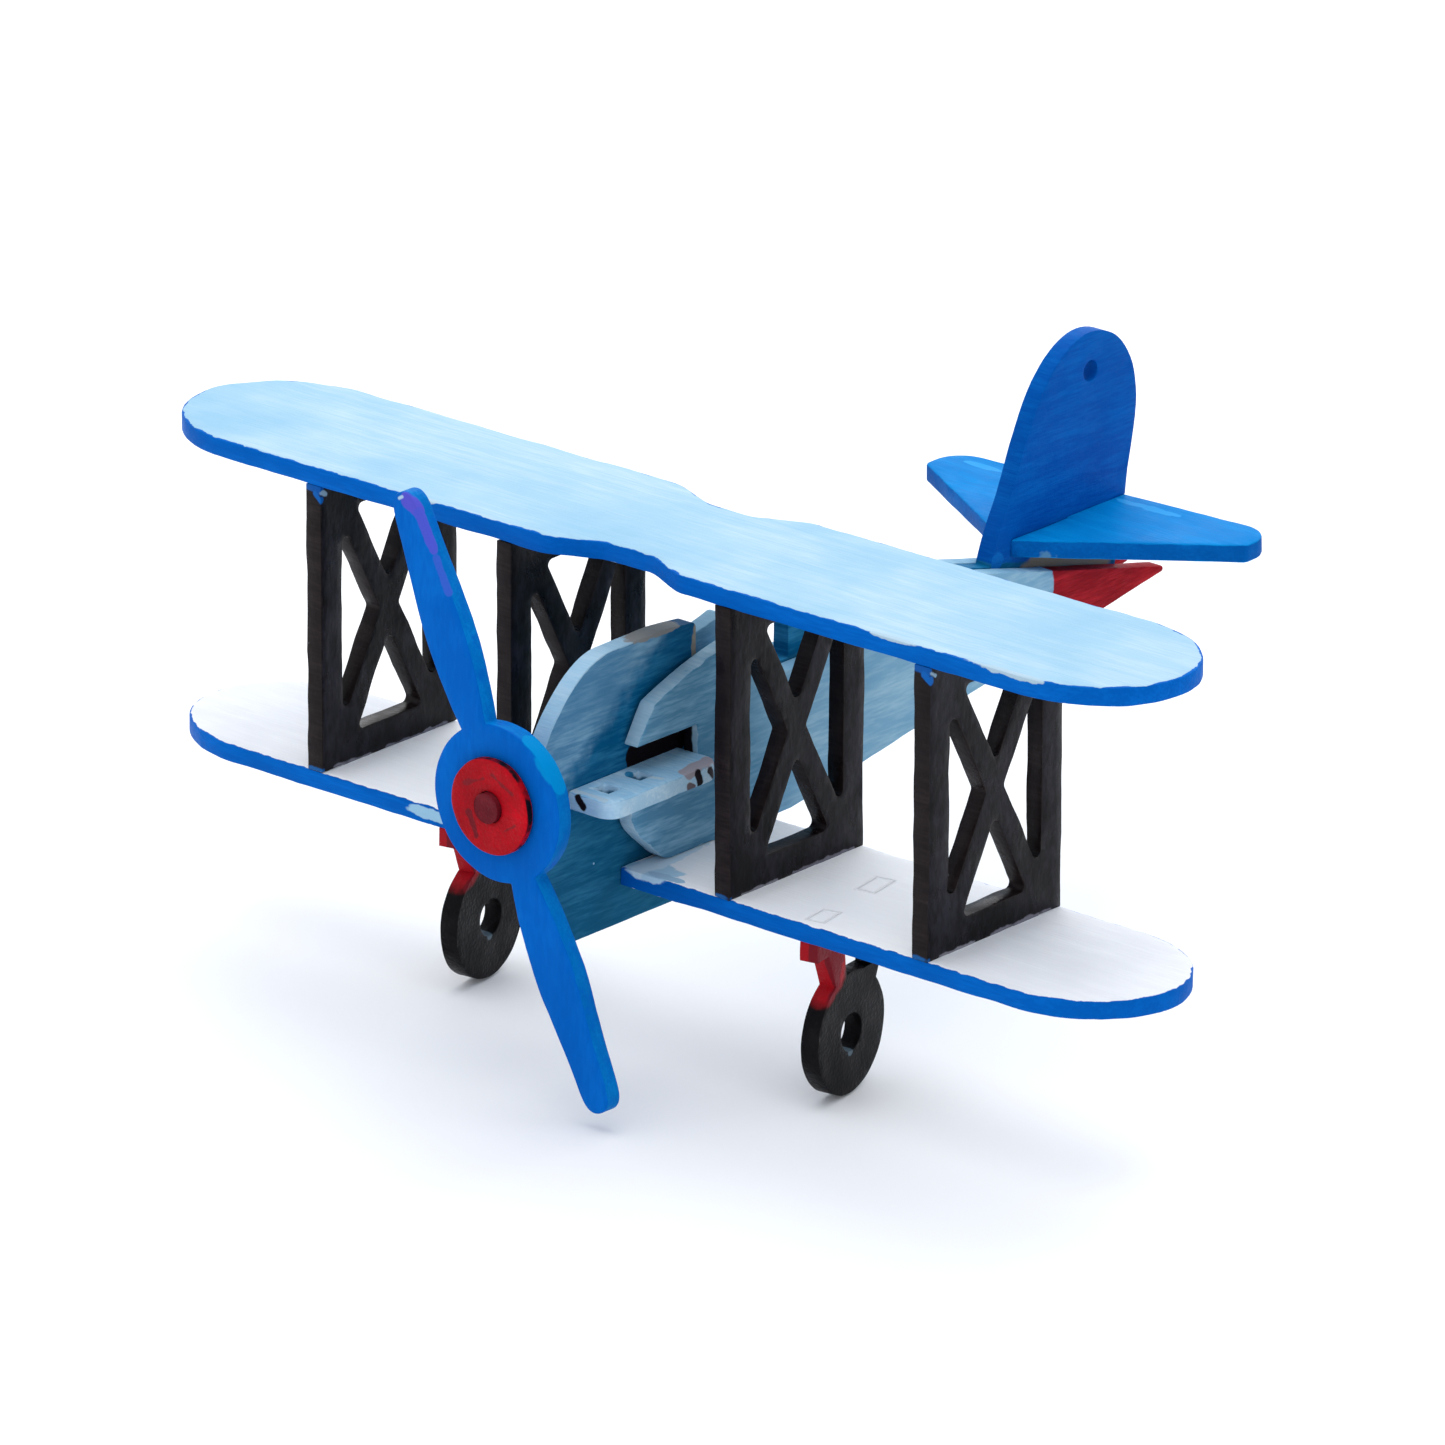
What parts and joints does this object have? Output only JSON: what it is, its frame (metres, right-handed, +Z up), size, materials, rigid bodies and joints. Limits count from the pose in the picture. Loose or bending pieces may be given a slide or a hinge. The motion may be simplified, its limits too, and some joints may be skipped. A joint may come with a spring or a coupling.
{
  "type": "biplane scale model",
  "caption": "Hand-painted slot-together plywood biplane: two wings on braced strut frames, plate fuselage, fin, tailplane, wheels and a propeller that spins.",
  "frame": {"origin": "under the middle of the model's length and span, level with the wheels' lowest points, as the model lies with its wings level", "axes": "+X to the port (left) wing tip, +Y to the tail, +Z up"},
  "size_m": [0.196, 0.1556, 0.0931],
  "materials": {
    "wing_paint": "3 mm birch plywood, hand-brushed satin acrylic: pale tops, blue edges",
    "black_paint": "3 mm birch plywood, hand-brushed semi-gloss black acrylic",
    "light_blue_paint": "3 mm birch plywood, hand-brushed satin light blue acrylic",
    "blue_paint": "3 mm birch plywood, hand-brushed satin blue acrylic",
    "red_paint": "wooden dowel and thin disc, hand-brushed red acrylic"
  },
  "bodies": {
    "airframe": {"upper_wing": "wing_paint", "lower_wing": "wing_paint", "strut_frame_starboard_outer": "black_paint", "strut_frame_starboard_inner": "black_paint", "strut_frame_port_inner": "black_paint", "strut_frame_port_outer": "black_paint", "centre_plate": "light_blue_paint", "fuselage_side_port": "light_blue_paint", "fuselage_side_starboard": "light_blue_paint", "engine_deck": "light_blue_paint", "tailplane": "blue_paint", "propeller_pin": "red_paint", "propeller_cap": "red_paint", "landing_gear_port": "black_paint", "landing_gear_starboard": "black_paint"},
    "propeller": {"propeller": "blue_paint"}
  },
  "joints": [
    {"name": "propeller_spin", "type": "hinge", "parent": "airframe", "child": "propeller", "pos_m": [0, -0.0738, 0.0476], "axis": [0, 1, 0], "continuous": true}
  ]
}
